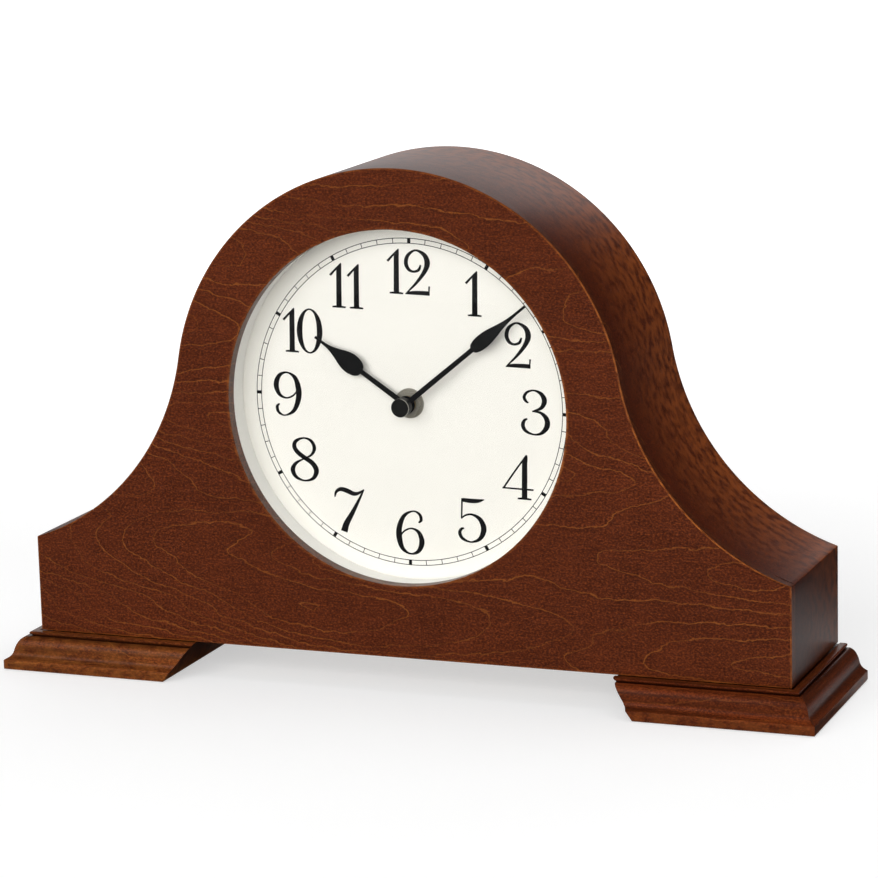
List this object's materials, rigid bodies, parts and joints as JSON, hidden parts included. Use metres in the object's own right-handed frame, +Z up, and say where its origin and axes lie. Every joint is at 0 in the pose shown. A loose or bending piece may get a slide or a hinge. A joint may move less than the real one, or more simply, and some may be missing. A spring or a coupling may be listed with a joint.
{
  "type": "mantel clock",
  "caption": "Tambour mantel clock: round-topped wooden case with curved shoulders on moulded feet, white Arabic dial, black hands, battery chime movement, hinged back door.",
  "frame": {"origin": "middle of the bounding box's underside, on the surface that the clock stands on", "axes": "+Z up, -Y the dial side, +X to the right of someone who faces the dial"},
  "size_m": [0.4, 0.0944, 0.2445],
  "materials": {
    "stained_wood": "reddish brown stained and lacquered maple veneer, satin",
    "board_wood": "unfinished fibreboard and ply",
    "painted_dial": "cream white gloss enamel",
    "white_plastic": "white moulded ring",
    "clear_glass": "domed clear glass",
    "black_enamel": "satin black enamel",
    "nickel": "nickel plated, lightly brushed",
    "brass": "lacquered brass",
    "steel": "zinc plated steel",
    "black_plastic": "fine spark-eroded black moulding",
    "gear_plastic": "natural acetal",
    "magnet": "dark ferrite",
    "coil_copper": "enamelled copper winding",
    "circuit_green": "solder-masked board",
    "battery_sleeve": "printed plastic sleeve",
    "felt": "green felt",
    "rubber": "black rubber",
    "paper": "pressed paper cone"
  },
  "bodies": {
    "case": {"front_panel": "stained_wood", "hood_wrap": "stained_wood", "end_board_right": "stained_wood", "end_board_left": "stained_wood", "bottom_board": "board_wood", "rear_former": "board_wood", "back_panel": "stained_wood", "back_panel_screws": "steel", "foot_right": "stained_wood", "foot_left": "stained_wood", "foot_screws": "steel", "felt_pads": "felt", "hinge_leaves_case": "brass", "hinge_pins": "brass", "hinge_screws_case": "brass", "catch_magnet": "black_plastic", "glass_lens": "clear_glass", "dial_mounting_ring": "board_wood", "dial_spacer_ring": "white_plastic", "dial_plate": "painted_dial", "dial_backboard": "board_wood", "dial_screws": "steel", "threaded_bushing": "brass", "dial_washer": "nickel", "mounting_nut": "nickel", "rubber_washer": "rubber", "motor_stator": "steel", "motor_coil": "coil_copper", "gear_plate": "gear_plastic", "movement_front_case": "black_plastic", "movement_rear_case": "black_plastic", "movement_case_screws": "steel", "circuit_board": "circuit_green", "quartz_crystal": "steel", "chime_chip": "black_plastic", "battery": "battery_sleeve", "battery_spring": "steel", "battery_contact": "steel", "speaker_frame": "steel", "speaker_cone": "paper", "speaker_magnet": "magnet"},
    "door": {"back_door": "stained_wood", "door_pull": "brass", "hinge_leaves_door": "brass", "hinge_screws_door": "brass", "catch_plate": "steel"},
    "minute_hand_group": {"minute_hand": "black_enamel", "hand_cap_nut": "black_enamel", "minute_arbor": "steel"},
    "hour_hand_group": {"hour_hand": "black_enamel", "hour_wheel": "gear_plastic"},
    "motion_wheel_group": {"motion_wheel": "gear_plastic"},
    "knob": {"setting_knob": "black_plastic"},
    "centre_wheel_group": {"centre_wheel": "gear_plastic"},
    "third_wheel_group": {"third_wheel": "gear_plastic"},
    "seconds_wheel_group": {"seconds_wheel": "gear_plastic"},
    "intermediate_wheel_group": {"intermediate_wheel": "gear_plastic"},
    "rotor": {"motor_rotor": "magnet"},
    "volume": {"volume_slider": "black_plastic"},
    "selector": {"chime_selector": "black_plastic"}
  },
  "joints": [
    {"name": "door_hinge", "type": "hinge", "parent": "case", "child": "door", "pos_m": [-0.0697, 0.04445, 0.116], "axis": [0, 0, 1], "range_deg": [0, 110]},
    {"name": "minute_hand_turn", "type": "hinge", "parent": "case", "child": "minute_hand_group", "pos_m": [0, 0, 0.1334], "axis": [0, 1, 0], "continuous": true},
    {"name": "hour_hand_turn", "type": "hinge", "parent": "case", "child": "hour_hand_group", "pos_m": [0, 0, 0.1334], "axis": [0, 1, 0], "continuous": true},
    {"name": "motion_wheel_turn", "type": "hinge", "parent": "case", "child": "motion_wheel_group", "pos_m": [-0.00789, 0, 0.13053], "axis": [0, 1, 0], "continuous": true},
    {"name": "setting_knob_turn", "type": "hinge", "parent": "case", "child": "knob", "pos_m": [-0.01579, 0, 0.12765], "axis": [0, 1, 0], "continuous": true},
    {"name": "rotor_turn", "type": "hinge", "parent": "case", "child": "rotor", "pos_m": [0.01305, 0, 0.14249], "axis": [0, 1, 0], "continuous": true},
    {"name": "intermediate_wheel_turn", "type": "hinge", "parent": "case", "child": "intermediate_wheel_group", "pos_m": [0.00525, 0, 0.14249], "axis": [0, 1, 0], "continuous": true},
    {"name": "seconds_wheel_turn", "type": "hinge", "parent": "case", "child": "seconds_wheel_group", "pos_m": [0, 0, 0.1334], "axis": [0, 1, 0], "continuous": true},
    {"name": "third_wheel_turn", "type": "hinge", "parent": "case", "child": "third_wheel_group", "pos_m": [0.0099, 0, 0.1298], "axis": [0, 1, 0], "continuous": true},
    {"name": "centre_wheel_turn", "type": "hinge", "parent": "case", "child": "centre_wheel_group", "pos_m": [0, 0, 0.1334], "axis": [0, 1, 0], "continuous": true},
    {"name": "volume_slide", "type": "slide", "parent": "case", "child": "volume", "axis": [1, 0, 0], "range_m": [0, 0.008]},
    {"name": "chime_select_slide", "type": "slide", "parent": "case", "child": "selector", "axis": [1, 0, 0], "range_m": [0, 0.008]}
  ],
  "couplings": [
    {"joint": "hour_hand_turn", "follows": "minute_hand_turn", "ratio": 0.083333},
    {"joint": "motion_wheel_turn", "follows": "minute_hand_turn", "ratio": -0.33333},
    {"joint": "setting_knob_turn", "follows": "minute_hand_turn", "ratio": 1},
    {"joint": "intermediate_wheel_turn", "follows": "rotor_turn", "ratio": -0.2},
    {"joint": "seconds_wheel_turn", "follows": "rotor_turn", "ratio": 0.033333},
    {"joint": "third_wheel_turn", "follows": "rotor_turn", "ratio": -0.0044444},
    {"joint": "centre_wheel_turn", "follows": "rotor_turn", "ratio": 0.00055556}
  ]
}
